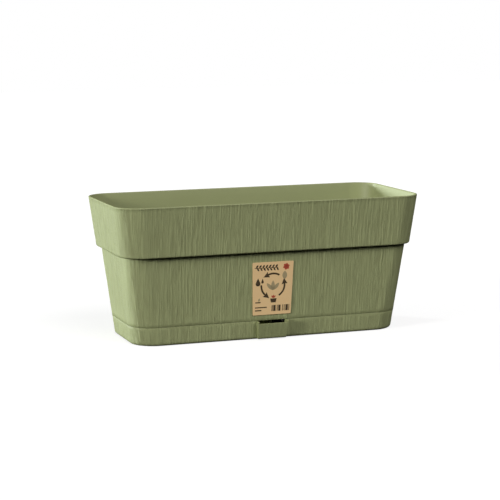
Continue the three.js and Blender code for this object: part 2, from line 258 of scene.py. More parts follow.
def bark_height(tree, place, width, length, wander, seed):
    """The grain's height, 1 on the ridges and 0 in the cracks. Straight fine fibres run all
    over, and in rough patches the bark has short marks that wander and split."""
    parts = node(tree, "ShaderNodeSeparateXYZ", {0: place})
    along, up = parts.outputs[0], parts.outputs[1]

    def streaks_of(across, wide, tall, shift, detail):
        """Streaks so many times the width and length, minus their mean."""
        noise = streak_noise(tree, across, up, calc(tree, "MULTIPLY", width, wide),
                             calc(tree, "MULTIPLY", length, tall),
                             calc(tree, "ADD", seed, shift), detail)
        return calc(tree, "SUBTRACT", noise, 0.5)

    def ramp(value, low, high, start, end):
        return node(tree, "ShaderNodeMapRange", {0: value, 1: low, 2: high, 3: start, 4: end},
                    interpolation_type="SMOOTHSTEP").outputs[0]

    bend = streak_noise(tree, along, up, bend_width, bend_length, seed, 2.0)
    bend = calc(tree, "MULTIPLY", calc(tree, "SUBTRACT", bend, 0.5), wander)
    bent = calc(tree, "ADD", along, bend)
    rough = ramp(streaks_of(along, 16.0, 3.5, 31.0, 1.0), -0.09, 0.09, 0.25, 1.0)
    ridge = calc(tree, "MULTIPLY", streaks_of(bent, 1.0, 1.0, 7.7, 1.0), ridge_share)
    broad = calc(tree, "MULTIPLY", streaks_of(along, 5.0, 0.9, 3.1, 1.0), broad_share)
    marks = calc(tree, "MULTIPLY", streaks_of(bent, 2.0, 0.4, 13.9, 1.0), marks_share)
    split = ramp(calc(tree, "ABSOLUTE", streaks_of(bent, 1.6, 0.7, 17.3, 1.0)),
                 0.0, 0.03, split_share, 0.0)
    marks = calc(tree, "MULTIPLY", calc(tree, "SUBTRACT", marks, split), rough)
    fibre = ramp(streaks_of(along, 1.0, 1.1, 23.3, 0.0), 0.11, 0.19, 0.0, fibre_share)
    total = calc(tree, "ADD", calc(tree, "ADD", ridge, broad), calc(tree, "ADD", marks, fibre))
    return calc(tree, "ADD", total, middle_height, clamp=True)


# The relief itself: the wall's points sink by the depth of the grain, never outwards.
grain_sizes = {"Streak width": 0.0012, "Streak length": 0.042, "Wander": 0.0009, "Seed": 4.0}
bark = bpy.data.node_groups.new("bark grain", "GeometryNodeTree")
bark.is_modifier = True
group_socket(bark, "Wall", "NodeSocketGeometry")
group_socket(bark, "Depth", "NodeSocketFloat", 0.00038)
for name, value in grain_sizes.items():
    group_socket(bark, name, "NodeSocketFloat", value)
group_socket(bark, "Plastic", "NodeSocketMaterial")
group_socket(bark, "Wall", "NodeSocketGeometry", way="OUTPUT")
given = node(bark, "NodeGroupInput").outputs
place = node(bark, "GeometryNodeInputNamedAttribute", {"Name": "grain_place"},
             data_type="FLOAT_VECTOR").outputs[0]
mask = node(bark, "GeometryNodeInputNamedAttribute", {"Name": "grain_mask"},
            data_type="FLOAT").outputs[0]
risen = bark_height(bark, place, *[given[name] for name in grain_sizes])
sink = calc(bark, "MULTIPLY", calc(bark, "SUBTRACT", 1.0, risen), mask)
sink = calc(bark, "MULTIPLY", calc(bark, "MULTIPLY", sink, given["Depth"]), -1.0)
offset = node(bark, "ShaderNodeVectorMath", {
    0: node(bark, "GeometryNodeInputNormal").outputs[0], "Scale": sink}, operation="SCALE")
moved = node(bark, "GeometryNodeSetPosition", {
    "Geometry": given["Wall"], "Offset": offset.outputs[0]})


def end_tree(tree, last, plastic):
    """Every tree ends as real geometry in its own material."""
    real = node(tree, "GeometryNodeRealizeInstances", {0: last.outputs[0]})
    painted = node(tree, "GeometryNodeSetMaterial", {
        "Geometry": real.outputs[0], "Material": plastic})
    node(tree, "NodeGroupOutput", {0: painted.outputs[0]})


end_tree(bark, moved, given["Plastic"])


def run_tree(target, tree, **values):
    """Gives a piece a Geometry Nodes tree with named values, and settles the result."""
    modifier = target.modifiers.new(tree.name, "NODES")
    modifier.node_group = tree
    for item in tree.interface.items_tree:
        key = item.name.lower().replace(" ", "_")
        if item.in_out == "INPUT" and key in values:
            modifier[item.identifier] = values[key]
    return settle(target)


# Green plastic: a satin moulding with a slightly uneven colour. On the grained faces the colour
# carries painted light: a painted highlight on the ridges and painted shade in the cracks. The smooth
# faces, chiefly the inside walls, are a darker copy of the green, which is painted shade.
# The smooth faces, chiefly the inside walls, get a darker green than the grained outside: painted
# shade.
smooth_shaded_green = (0.257, 0.283, 0.128)
# Paler on the ridges and darker in the cracks: a painted highlight and painted shade that follow the
# relief.
ridge_highlight_green = (0.354, 0.392, 0.190)
crack_shade_green = (0.258, 0.280, 0.132)
pale_green = (0.360, 0.400, 0.200)

streaks = bpy.data.node_groups.new("bark streaks", "ShaderNodeTree")
group_socket(streaks, "Place", "NodeSocketVector")
for name, value in grain_sizes.items():
    group_socket(streaks, name, "NodeSocketFloat", value)
group_socket(streaks, "Height", "NodeSocketFloat", way="OUTPUT")
given = node(streaks, "NodeGroupInput").outputs
node(streaks, "NodeGroupOutput", {0: bark_height(
    streaks, given["Place"], *[given[name] for name in grain_sizes])})

# A moulding is never quite even: soft clouds of tone, and fine specks that dull its shine.
uneven = bpy.data.node_groups.new("uneven moulding", "ShaderNodeTree")
group_socket(uneven, "Place", "NodeSocketVector")
group_socket(uneven, "Cloud scale", "NodeSocketFloat", 22.0)
group_socket(uneven, "Speck scale", "NodeSocketFloat", 900.0)
group_socket(uneven, "Cloud", "NodeSocketFloat", way="OUTPUT")
group_socket(uneven, "Speck", "NodeSocketFloat", way="OUTPUT")
given = node(uneven, "NodeGroupInput").outputs
node(uneven, "NodeGroupOutput", {i: node(uneven, "ShaderNodeTexNoise", {
    "Vector": given["Place"], "Scale": given[scale], "Detail": detail}).outputs[0]
    for i, (scale, detail) in enumerate((("Cloud scale", 3.0), ("Speck scale", 2.0)))})


def use_group(tree, group, wires):
    made = node(tree, "ShaderNodeGroup", node_tree=group)
    for key, value in wires.items():
        if isinstance(value, bpy.types.NodeSocket):
            tree.links.new(value, made.inputs[key])
        else:
            made.inputs[key].default_value = value
    return made.outputs


def mix_color(tree, share, first, second):
    made = node(tree, "ShaderNodeMix", data_type="RGBA")
    for socket, value in ((made.inputs[0], share), (made.inputs[6], first), (made.inputs[7], second)):
        if isinstance(value, bpy.types.NodeSocket):
            tree.links.new(value, socket)
        else:
            socket.default_value = value if isinstance(value, float) else (*value, 1.0)
    return made.outputs[2]


def new_material(name, **sockets):
    """A material with a Principled shader and its plain values set on the shader itself."""
    material = bpy.data.materials.new(name)
    material.use_nodes = True
    shader = material.node_tree.nodes["Principled BSDF"]
    for key, value in sockets.items():
        shader.inputs[key.replace("_", " ")].default_value = value
    return material, material.node_tree, shader


def uneven_at(tree, **scales):
    """The object's own place, and the clouds and specks of its material there."""
    place = node(tree, "ShaderNodeTexCoord").outputs["Object"]
    wires = {key.replace("_", " "): value for key, value in scales.items()}
    return place, *use_group(tree, uneven, {"Place": place, **wires})[0:2]


def spread(tree, value, reach, low=0.0):
    """A value from 0 to 1 stretched to run from the low end as far as the reach."""
    scaled = calc(tree, "MULTIPLY", value, reach)
    return calc(tree, "ADD", scaled, low) if low else scaled


def small_relief(tree, shader, height):
    bump = node(tree, "ShaderNodeBump", {"Height": height, "Strength": 1.0, "Distance": 1.0})
    tree.links.new(bump.outputs[0], shader.inputs["Normal"])


green_cloud_share = 0.2
green_roughness = (0.12, 0.46)
crack_relief = 0.00022
fibre_relief = 0.00017
speck_relief = 0.00002
green_plastic, tree, shader = new_material("green_plastic", Specular_IOR_Level=0.35)
grain_place = node(tree, "ShaderNodeAttribute", attribute_name="grain_place").outputs["Vector"]
grain_mask = node(tree, "ShaderNodeAttribute", attribute_name="grain_mask").outputs["Fac"]
relief = use_group(tree, streaks, {"Place": grain_place})[0]
fibres = use_group(tree, streaks, {"Place": grain_place, "Streak width": 0.0010,
                                   "Streak length": 0.016, "Wander": 0.001, "Seed": 21.0})[0]
_, cloud, speck = uneven_at(tree)
# Grained faces: painted highlight on the ridges and painted shade in the cracks. Smooth faces: the
# darker smooth green, painted shade on the inside walls.
tone = mix_color(tree, grain_mask, smooth_shaded_green, mix_color(tree, relief, crack_shade_green, ridge_highlight_green))
tone = mix_color(tree, spread(tree, cloud, green_cloud_share), tone, pale_green)
tree.links.new(tone, shader.inputs["Base Color"])
tree.links.new(spread(tree, speck, *green_roughness), shader.inputs["Roughness"])
crisp = calc(tree, "ADD", spread(tree, relief, crack_relief), spread(tree, fibres, fibre_relief))
small_relief(tree, shader, calc(tree, "ADD", calc(tree, "MULTIPLY", crisp, grain_mask),
                                spread(tree, speck, speck_relief)))

foot_inner = base_rounding + foot_width
tray_loops = [
    (body_outline(0, foot_inner + foot_recess), foot_recess, 0),
    (body_outline(0, foot_inner), 0, 0)]
for c, s in arc(-math.pi / 2, 4):
    z = base_rounding * (1 + s)
    tray_loops.append((body_outline(z, base_rounding * (1 - c)), z, c ** 2))
low_z, high_z = base_rounding + grain_row / 2, tray_top_z - tray_edge_rounding
for z in np.linspace(low_z, high_z, round((high_z - low_z) / grain_row) + 1):
    tray_loops.append((body_outline(z), z, 1 if z < high_z else seam_grain))
tray_loops += [
    (body_outline(tray_top_z, tray_edge_rounding), tray_top_z, 0),
    (body_outline(tray_top_z, tray_wall), tray_top_z, 0),
    (body_outline(tray_floor_z + inner_fillet, tray_wall), tray_floor_z + inner_fillet, 0),
    (body_outline(tray_floor_z, tray_wall + inner_fillet), tray_floor_z, 0)]
tray = add_object("tray_moulding", wall_mesh("tray_moulding", tray_loops))
run_tree(tray, bark, plastic=green_plastic)


def boolean(piece, other, operation):
    """Joins or cuts with another closed piece, which is used up."""
    modifier = piece.modifiers.new(operation, "BOOLEAN")
    modifier.operation = operation
    modifier.solver = "MANIFOLD"
    modifier.object = other
    settle(piece)
    bpy.data.objects.remove(other)
    return piece


def closed_piece(name, points, faces):
    """A piece from points and faces, with every face turned outwards."""
    mesh = bpy.data.meshes.new(name)
    mesh.from_pydata(points, [], faces)
    shape = bmesh.new()
    shape.from_mesh(mesh)
    bmesh.ops.recalc_face_normals(shape, faces=shape.faces)
    shape.to_mesh(mesh)
    shape.free()
    return add_object(name, mesh)


def stacked(name, points, count):
    """A closed piece from rings of so many points each, joined in order and capped."""
    faces = [list(range(count)), list(range(len(points) - count, len(points)))]
    for low in range(0, len(points) - count, count):
        faces += [[low + i, low + (i + 1) % count, low + count + (i + 1) % count, low + count + i]
                  for i in range(count)]
    return closed_piece(name, points, faces)


def prism_along_x(name, outline, half_at, steps=1):
    """A closed block with its outline drawn in YZ, running along X in so many steps to its half
    length at each height."""
    return stacked(name, [(share * half_at(z), y, z) for share in np.linspace(-1, 1, steps + 1)
                          for y, z in outline], len(outline))


def turned(name, profile, steps=32):
    """A closed turned piece about the upright axis, from (radius, z) points."""
    rows, faces, points = [], [], []
    for radius, z in profile:
        if radius < 1e-7:
            rows.append([len(points)])
            points.append((0, 0, z))
        else:
            rows.append(list(range(len(points), len(points) + steps)))
            points += [(radius * math.cos(a), radius * math.sin(a), z)
                       for a in np.arange(steps) * 2 * math.pi / steps]
    for low, high in zip(rows, rows[1:] + rows[:1]):
        for i in range(steps):
            j = (i + 1) % steps
            ring = [low[i % len(low)], low[j % len(low)], high[j % len(high)], high[i % len(high)]]
            ring = list(dict.fromkeys(ring))
            if len(ring) > 2:
                faces.append(ring)
    return closed_piece(name, points, faces)


# One tree sets out everything that repeats: a piece at each of the places, turned as asked.
repeat = bpy.data.node_groups.new("piece at each place", "GeometryNodeTree")
repeat.is_modifier = True
group_socket(repeat, "Places", "NodeSocketGeometry")
group_socket(repeat, "Piece", "NodeSocketObject")
group_socket(repeat, "Plastic", "NodeSocketMaterial")
group_socket(repeat, "Pieces", "NodeSocketGeometry", way="OUTPUT")
given = node(repeat, "NodeGroupInput").outputs
turn = node(repeat, "GeometryNodeInputNamedAttribute", {"Name": "turn"}, data_type="FLOAT").outputs[0]
source = node(repeat, "GeometryNodeObjectInfo", {"Object": given["Piece"]}).outputs["Geometry"]
copies = node(repeat, "GeometryNodeInstanceOnPoints", {
    "Points": given["Places"], "Instance": source,
    "Rotation": node(repeat, "ShaderNodeCombineXYZ", {2: turn}).outputs[0]})
end_tree(repeat, copies, given["Plastic"])


def at_places(piece, places, plastic, turns=None):
    """Copies of a piece at (x, y) places, as one mesh. The piece itself is used up."""
    mesh = bpy.data.meshes.new("places")
    mesh.from_pydata([(x, y, 0) for x, y in places], [], [])
    mesh.attributes.new("turn", "FLOAT", "POINT").data.foreach_set(
        "value", np.array(turns if turns is not None else [0] * len(places), np.float32))
    copied = run_tree(add_object(piece.name + "_set", mesh), repeat, piece=piece, plastic=plastic)
    bpy.data.objects.remove(piece)
    return copied


def finish_mesh(piece, angle=35):
    """Smooth shading with sharp edges kept."""
    for polygon in piece.data.polygons:
        polygon.use_smooth = True
    piece.data.set_sharp_from_angle(angle=math.radians(angle))


# The spout: a drafted pocket that leans out from the tray's front, open at the top and to the
# tray, with its foot a little off the ground.
spout_width = 0.040
spout_side_draft = 0.0019
spout_reach = 0.0092
spout_foot_reach = 0.0062
spout_ground_gap = 0.001
spout_lip_drop = 0.0024
spout_wall = 0.0014
spout_rounding = 0.0007
spout_foot_rounding = 0.002
cheek_rounding = 0.0012
spout_grain = 0.8
lip_z = tray_top_z - spout_lip_drop


def front_y(z):
    return -body_outline(z)[1]


def spout_y(z):
    return front_y(z) - spout_foot_reach - (spout_reach - spout_foot_reach) * z / lip_z


def spout_half(z):
    return spout_width / 2 - spout_side_draft * (1 - z / lip_z)


def between_cheeks(z):
    return spout_half(z) - spout_wall


spout_outline = [(front_y(0) + base_rounding, spout_ground_gap)]
for c, s in arc(-math.pi / 2, 3):
    z = spout_ground_gap + spout_foot_rounding * (1 + s)
    spout_outline.append((spout_y(z) + spout_foot_rounding * (1 - c), z))
face_low, face_high = spout_outline[-1][1], tray_top_z - cheek_rounding
spout_outline += [(spout_y(z), z) for z in np.linspace(face_low, face_high, 8)[1:]]
spout_outline += [(spout_y(tray_top_z) + cheek_rounding * (1 - c),
                   tray_top_z - cheek_rounding * (1 - s)) for c, s in arc(0, 3)[1:]]
spout_outline.append((front_y(tray_top_z) + tray_wall / 2, tray_top_z))
spout = prism_along_x("spout", spout_outline, spout_half, 52)
spout_points = np.array([point.co for point in spout.data.vertices])
on_face = np.isclose(spout_points[:, 1], spout_y(spout_points[:, 2]), atol=1e-6)
give_grain(spout.data, np.column_stack([
    spout_points[:, 0], spout_points[:, 2], np.zeros(len(spout_points))]), on_face * spout_grain)
run_tree(spout, bark, plastic=green_plastic)
boolean(tray, spout, "UNION")
cut_past = 0.001
pocket_top = tray_top_z + cut_past
pocket_back = front_y(tray_floor_z) + tray_wall + cut_past
pocket = prism_along_x("pocket", [
    (pocket_back, tray_floor_z),
    (spout_y(tray_floor_z) + spout_wall, tray_floor_z),
    (spout_y(lip_z) + spout_wall, lip_z),
    (spout_y(lip_z) + spout_wall, pocket_top),
    (pocket_back, pocket_top)], between_cheeks)
boolean(tray, pocket, "DIFFERENCE")
lip_curve = [(spout_y(lip_z) + spout_rounding * (1 - c), lip_z - spout_rounding * (1 - s))
             for c, s in arc(0, 3)]
over_lip = prism_along_x("over_lip", [
    (spout_y(lip_z) - cut_past, lip_z - spout_rounding),
    *lip_curve,
    (spout_y(lip_z) + spout_wall + cut_past, lip_z),
    (spout_y(lip_z) + spout_wall + cut_past, pocket_top),
    (spout_y(lip_z) - cut_past, pocket_top)], between_cheeks)
boolean(tray, over_lip, "DIFFERENCE")

basket_boxes = [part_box(f"wick_basket_{i}") for i in (1, 2, 3, 4)]
basket_places = [((low.x + high.x) / 2, 0.0) for low, high in basket_boxes]
basket_spacing = basket_places[1][0] - basket_places[0][0]
post_radius = 0.006
post_wall = 0.002
post_offset = 0.038
rest_gap = 0.0004
post_sunk = 0.0005
post_rounding = 0.0003
post_foot = tray_floor_z - post_sunk
post_top = seam_z + seam_gap / 2 - rest_gap
leg_places = [(x - basket_spacing / 2, side * post_offset)
              for x, _ in basket_places[1:] for side in (-1, 1)]
posts = turned("post", [
    (post_radius - post_wall, post_foot), (post_radius, post_foot),
    (post_radius, post_top - post_rounding), (post_radius - post_rounding, post_top),
    (post_radius - post_wall, post_top)])
boolean(tray, at_places(posts, leg_places, green_plastic), "UNION")
finish_mesh(tray)
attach(tray, "tray")
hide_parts("reservoir_tray")

# -------------------- Planter box
# The box that holds the plants: a thin drafted wall whose rim band stands out and hangs down as
# a hollow skirt, moulded in one with its floor and the locating skirt that plugs into the tray.
box_wall = 0.0024
band_wall = 0.0026
box_floor = 0.0024
band_hollow = 0.009
lip_rounding = 0.0012
lip_grain = 0.6
edge_rounding = 0.0016
foot_rounding = tray_edge_rounding
ledge_rounding = 0.0012
floor_fillet = 0.002
box_foot_z = seam_z + seam_gap / 2
box_floor_z = box_foot_z + box_floor
hollow_z = band_edge_z + band_hollow
ledge_z = hollow_z + band_wall

box_loops = [(body_outline(box_foot_z, foot_rounding), box_foot_z, 0)]
low_z = box_foot_z + foot_rounding
for z in np.linspace(low_z, hollow_z, round((hollow_z - low_z) / grain_row) + 1):
    box_loops.append((body_outline(z), z, 1 if z > low_z else seam_grain))
box_loops += [
    (band_outline(hollow_z, band_wall), hollow_z, 0),
    (band_outline(band_edge_z, band_wall), band_edge_z, 0)]
for c, s in arc(-math.pi / 2, 3):
    z = band_edge_z + edge_rounding * (1 + s)
    box_loops.append((band_outline(z, edge_rounding * (1 - c)), z, c ** 2))
low_z, high_z = band_edge_z + 2 * edge_rounding, height - 1.5 * lip_rounding
for z in np.linspace(low_z, high_z, round((high_z - low_z) / grain_row) + 1):
    box_loops.append((band_outline(z), z, 1))
for c, s in arc(0, 3):
    box_loops.append((band_outline(height, lip_rounding * (1 - c)), height - lip_rounding * (1 - s),
                      lip_grain * c))
for c, s in arc(math.pi / 2, 3):
    box_loops.append((band_outline(height, band_wall - lip_rounding * (1 + c)),
                      height - lip_rounding * (1 - s), 0))
for z in np.linspace(height - band_depth / 5, ledge_z + 2 * ledge_rounding, 4):
    box_loops.append((band_outline(z, band_wall), z, 0))
for c, s in arc(0, 3):
    box_loops.append((band_outline(ledge_z, band_wall + ledge_rounding * (1 - c)),
                      ledge_z + ledge_rounding * (1 - s), 0))
for c, s in arc(0, 3):
    box_loops.append((body_outline(ledge_z, box_wall - ledge_rounding * (1 - s)),
                      ledge_z - ledge_rounding * (1 - c), 0))
box_loops += [
    (body_outline((ledge_z + box_floor_z) / 2, box_wall), (ledge_z + box_floor_z) / 2, 0)]
for c, s in arc(0, 3):
    box_loops.append((body_outline(box_floor_z, box_wall + floor_fillet * (1 - c)),
                      box_floor_z + floor_fillet * (1 - s), 0))
box = add_object("box_moulding", wall_mesh("box_moulding", box_loops))
run_tree(box, bark, plastic=green_plastic)

skirt_depth = 0.013
skirt_wall = 0.0018
skirt_clearance = 0.0007
skirt_inset = tray_wall + skirt_clearance
skirt_gap_margin = 0.003
skirt_foot = box_foot_z - skirt_depth
skirt_top = box_foot_z + box_floor / 2
skirt_fineness = 0.2
skirt = add_object("skirt", wall_mesh("skirt", [
    (body_outline(skirt_foot, skirt_inset + skirt_wall), skirt_foot, 0),
    (body_outline(skirt_foot, skirt_inset), skirt_foot, 0),
    (body_outline(skirt_top, skirt_inset), skirt_top, 0),
    (body_outline(skirt_top, skirt_inset + skirt_wall), skirt_top, 0)], skirt_fineness, ring=True))
gap_front = front_y(box_foot_z)
gap_back = front_y(skirt_foot) + skirt_inset + skirt_wall + cut_past
boolean(skirt, prism_along_x("gap", [
    (gap_front, skirt_foot - cut_past), (gap_back, skirt_foot - cut_past),
    (gap_back, box_foot_z), (gap_front, box_foot_z)],
    lambda z: spout_width / 2 + skirt_gap_margin), "DIFFERENCE")
boolean(box, skirt, "UNION")

basket_top_radius = 0.017
well_clearance = 0.002
drain_radius = 0.0026


def round_cutter(radius, low, high, rounding=0.0005, steps=32):
    """A plug that cuts a round hole and eases its upper and lower edges."""
    return turned("cutter", [
        (0, low - cut_past), (radius + rounding + cut_past, low - cut_past), (radius + rounding, low),
        (radius, low + rounding), (radius, high - rounding), (radius + rounding, high),
        (radius + rounding + cut_past, high + cut_past), (0, high + cut_past)], steps)


drain_places = [(x + end * basket_spacing / 4, side * post_offset)
                for x, _ in basket_places for end in (-1, 1) for side in (-1, 1)]
wells = round_cutter(basket_top_radius + well_clearance, box_foot_z, box_floor_z, steps=48)
drains = round_cutter(drain_radius, box_foot_z, box_floor_z, steps=20)
boolean(box, at_places(wells, basket_places, green_plastic), "DIFFERENCE")
boolean(box, at_places(drains, drain_places, green_plastic), "DIFFERENCE")
finish_mesh(box)
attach(box, "box")
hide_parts("planter_box")

# -------------------- Card label
# A brown kraft card glued to the front of the box, printed in three inks with plain signs about
# watering: a sprig, a flower, three arrows round a plant, drops, a pot, plain lines and bars.
card_low, card_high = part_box("product_label")
card_slope = math.atan2(body_draft, band_edge_z)
card_taper = 0.0038
card_tall = (card_high.z - card_low.z) / math.cos(card_slope)
card_top_width = card_high.x - card_low.x
card_foot_width = card_top_width - card_taper
card_thickness = 0.0005
card_gap = 0.0003
card_corner = 0.0012
card_edge = 0.00008
card_edge_reach = 0.027
ink_height = 0.00005
card_fibre = (0.880, 0.620, 0.315)
card_dark = (0.700, 0.470, 0.220)
card_pale = (0.900, 0.680, 0.380)
card_dark_share = 0.55
card_pale_share = 0.25
card_relief = 0.00008
card_specks = 1600.0
dark_ink = (0.020, 0.014, 0.008)
green_ink = (0.230, 0.220, 0.130)
red_ink = (0.480, 0.040, 0.025)

# The card's own plane: across, up the slope, and out of the wall.
card_place = Matrix.Translation((0, front_y(card_low.z), card_low.z)) @ Matrix.Rotation(
    math.pi / 2 + card_slope, 4, "X")


def bar(x, y, width, tall):
    return [(x - width / 2, y - tall / 2), (x + width / 2, y - tall / 2),
            (x + width / 2, y + tall / 2), (x - width / 2, y + tall / 2)]


def sweep(x, y, radius, start, end, width, steps=14):
    """A curved stroke round a centre, from one angle in degrees to another."""
    angles = np.radians(np.linspace(start, end, steps))
    outer = [(x + (radius + width / 2) * math.cos(a), y + (radius + width / 2) * math.sin(a))
             for a in angles]
    inner = [(x + (radius - width / 2) * math.cos(a), y + (radius - width / 2) * math.sin(a))
             for a in angles[::-1]]
    return outer + inner


def leaf(x, y, long, wide, turn, steps=7):
    """A pointed leaf whose stalk end is at the place given, turned in degrees."""
    t = np.linspace(0, 1, steps)
    half = wide / 2 * np.sin(math.pi * t) ** 0.8
    c, s = math.cos(math.radians(turn)), math.sin(math.radians(turn))
    edge = list(zip(t * long, half)) + list(zip(t[-2:0:-1] * long, -half[-2:0:-1]))
    return [(x + u * c - v * s, y + u * s + v * c) for u, v in edge]


def drop(x, y, radius, tall, steps=14):
    """A water drop: a round foot drawn up to a point."""
    angles = np.radians(np.linspace(-200, 20, steps))
    return [(x + radius * math.cos(a), y + radius * math.sin(a)) for a in angles] + [(x, y + tall)]


def pot(x, y, wide, tall):
    return [(x - wide * 0.36, y), (x + wide * 0.36, y), (x + wide / 2, y + tall),
            (x - wide / 2, y + tall)]


def arrow(x, y, radius, start, end, width, head):
    """A curved stroke with a pointed head at its end, as two shapes that meet."""
    a = math.radians(end)
    way = math.copysign(1, end - start)
    along = (-math.sin(a) * way, math.cos(a) * way)
    out = (math.cos(a), math.sin(a))
    foot = (x + radius * out[0], y + radius * out[1])
    tip = (foot[0] + along[0] * head * 1.3, foot[1] + along[1] * head * 1.3)
    wings = [(foot[0] + side * out[0] * head * 0.75 - along[0] * head * 0.2,
              foot[1] + side * out[1] * head * 0.75 - along[1] * head * 0.2) for side in (1, -1)]
    return [sweep(x, y, radius, start, end, width), [wings[0], tip, wings[1], foot]]


def printed(name, shapes, ink):
    """Flat shapes, in millimetres on the card, as closed films of ink on its face."""
    low, high = card_gap + card_thickness, card_gap + card_thickness + ink_height
    points, faces = [], []
    for shape in shapes:
        start, count = len(points), len(shape)
        points += [(u / 1000, v / 1000, z) for z in (low, high) for u, v in shape]
        faces += [[start + i for i in range(count)], [start + count + i for i in range(count)]]
        faces += [[start + i, start + (i + 1) % count, start + count + (i + 1) % count,
                   start + count + i] for i in range(count)]
    film = closed_piece(name, points, faces)
    film.data.transform(card_place)
    film.data.materials.append(ink)
    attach(film, "box")
    return film


outline = []
for sx, sy, turn in ((1, 1, 0), (-1, 1, 1), (-1, -1, 2), (1, -1, 3)):
    half = (card_top_width if sy > 0 else card_foot_width) / 2 - card_corner
    middle = card_tall - card_corner if sy > 0 else card_corner
    outline += [(sx * half + card_corner * c, middle + card_corner * s)
                for c, s in arc(turn * math.pi / 2, 4)]
card_back, card_face = card_gap, card_gap + card_thickness
layers = [(card_back, card_edge), (card_back + card_edge, 0), (card_face - card_edge, 0),
          (card_face, card_edge)]
card = stacked("kraft_card", [
    (u * (1 - ease / card_edge_reach), v + (ease if v < card_tall / 2 else -ease), w)
    for w, ease in layers for u, v in outline], len(outline))
card.data.transform(card_place)
finish_mesh(card, 30)

kraft, tree, shader = new_material("kraft_card", Roughness=0.85, Specular_IOR_Level=0.2)
place, cloud, _ = uneven_at(tree, Cloud_scale=90.0, Speck_scale=card_specks)
fibre_place = node(tree, "ShaderNodeMapping", {
    "Vector": place, "Scale": (500, 500, 1900), "Rotation": (0, 0.5, 0)}).outputs[0]
fibre = node(tree, "ShaderNodeTexNoise", {
    "Vector": fibre_place, "Scale": 1.0, "Detail": 4.0}).outputs[0]
tone = mix_color(tree, spread(tree, fibre, card_dark_share), card_fibre, card_dark)
tone = mix_color(tree, spread(tree, cloud, card_pale_share), tone, card_pale)
tree.links.new(tone, shader.inputs["Base Color"])
small_relief(tree, shader, spread(tree, fibre, card_relief))
card.data.materials.append(kraft)
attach(card, "box")
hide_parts("product_label")


def new_ink(name, color, wear):
    """Ink that lies a little thin on the card's fibres."""
    material, tree, shader = new_material(name, Roughness=0.7, Specular_IOR_Level=0.2)
    _, _, speck = uneven_at(tree, Speck_scale=card_specks)
    tree.links.new(mix_color(tree, spread(tree, speck, wear), color, card_fibre),
                   shader.inputs["Base Color"])
    return material


ring_x, ring_y, ring_radius = 0.5, 37.6, 15.4
dark_shapes = [bar(-8.8, 60.6, 31.0, 0.9)]
for i in range(7):
    stalk = -22.6 + i * 4.3
    dark_shapes.append(leaf(stalk, 60.8, 4.8, 2.4, 52))
    dark_shapes.append(leaf(stalk + 1.6, 60.4, 4.4, 2.2, -52))
for start, end in ((58, 116), (176, 230), (-58, 8)):
    dark_shapes += arrow(ring_x, ring_y, ring_radius, start, end, 2.3, 5.2)
dark_shapes += [
    drop(-19.4, 40.6, 3.1, 7.2),
    drop(-13.4, 42.6, 1.7, 4.4),
    pot(1.6, 15.6, 8.6, 5.2)]
for y, wide in ((16.4, 7.0), (9.8, 15.5), (6.0, 8.5)):
    dark_shapes.append(bar(-22.4 + wide / 2, y, wide, 1.4))
bar_x = -0.4
for wide, gap in ((1.3, 0.8), (3.2, 1.6), (1.0, 0.9), (3.0, 2.2),
                  (0.8, 1.4), (1.0, 1.2), (3.2, 0.9), (0.9, 0.8)):
    dark_shapes.append(bar(bar_x + wide / 2, 8.2, wide, 7.8))
    bar_x += wide + gap
printed("label_print_dark", dark_shapes, new_ink("dark_ink", dark_ink, 0.12))
green_shapes = [leaf(15.8, 44.6, 11.0, 6.4, 90),
                leaf(-18.2, 17.4, 4.6, 2.4, 70)]
green_shapes += [leaf(ring_x, 31.6, 12.4, 4.6, turn) for turn in (48, 90, 132)]
printed("label_print_green", green_shapes, new_ink("green_ink", green_ink, 0.5))
red_shapes = [leaf(17.6, 61.2, 4.6, 3.6, turn) for turn in range(18, 378, 60)]
red_shapes += [leaf(1.6, 21.4, 4.2, 2.0, turn) for turn in (50, 90, 130)]
printed("label_print_red", red_shapes, new_ink("red_ink", red_ink, 0.2))

# -------------------- Soil grid
# A slotted plate with a raised edge that keeps the potting mix up off the box floor. It stands
# on six legs and has a round seat for each wick basket, all in one dark moulding.
grid_low, grid_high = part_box("soil_grid")
grid_thickness = 0.0022
grid_edge_height = 0.0045
grid_edge_wall = 0.0018
grid_clearance = 0.002
grid_inset = box_wall + grid_clearance
grid_z = grid_high.z - grid_edge_height
grid_top_z = grid_z + grid_thickness
grid_rounding = 0.0004
slot_length = 0.016
slot_width = 0.0032
slot_pitch = (0.010, 0.021)
leg_radius = 0.005
leg_wall = 0.0015
leg_rounding = 0.0003
slot_rounding = 0.0003
basket_flange = 0.0042
seat_clearance = 0.0008

slate_green = (0.030, 0.033, 0.027)
worn_slate = (0.060, 0.064, 0.052)
dark_cloud_share = 0.7
dark_roughness = (0.25, 0.36)
dark_speck_relief = 0.00004
dark_plastic, tree, shader = new_material("dark_plastic", Specular_IOR_Level=0.4)
_, cloud, speck = uneven_at(tree, Cloud_scale=35.0, Speck_scale=1500.0)
tree.links.new(mix_color(tree, spread(tree, cloud, dark_cloud_share), slate_green, worn_slate),
               shader.inputs["Base Color"])
tree.links.new(spread(tree, speck, *dark_roughness), shader.inputs["Roughness"])
small_relief(tree, shader, spread(tree, speck, dark_speck_relief))


def grid_outline(inset):
    return body_outline(grid_z, grid_inset + inset)


grid_fineness = 0.25
grid_loops = [(grid_outline(grid_rounding), grid_z, 0), (grid_outline(0), grid_z + grid_rounding, 0)]
for c, s in arc(0, 2):
    grid_loops.append((grid_outline(grid_rounding * (1 - c)),
                       grid_high.z - grid_rounding * (1 - s), 0))
for c, s in arc(math.pi / 2, 2):
    grid_loops.append((grid_outline(grid_edge_wall - grid_rounding * (1 + c)),
                       grid_high.z - grid_rounding * (1 - s), 0))
grid_loops += [
    (grid_outline(grid_edge_wall), grid_top_z + grid_rounding, 0),
    (grid_outline(grid_edge_wall + grid_rounding), grid_top_z, 0)]
grid = add_object("grid_moulding", wall_mesh("grid_moulding", grid_loops, grid_fineness))
grid.data.materials.append(dark_plastic)

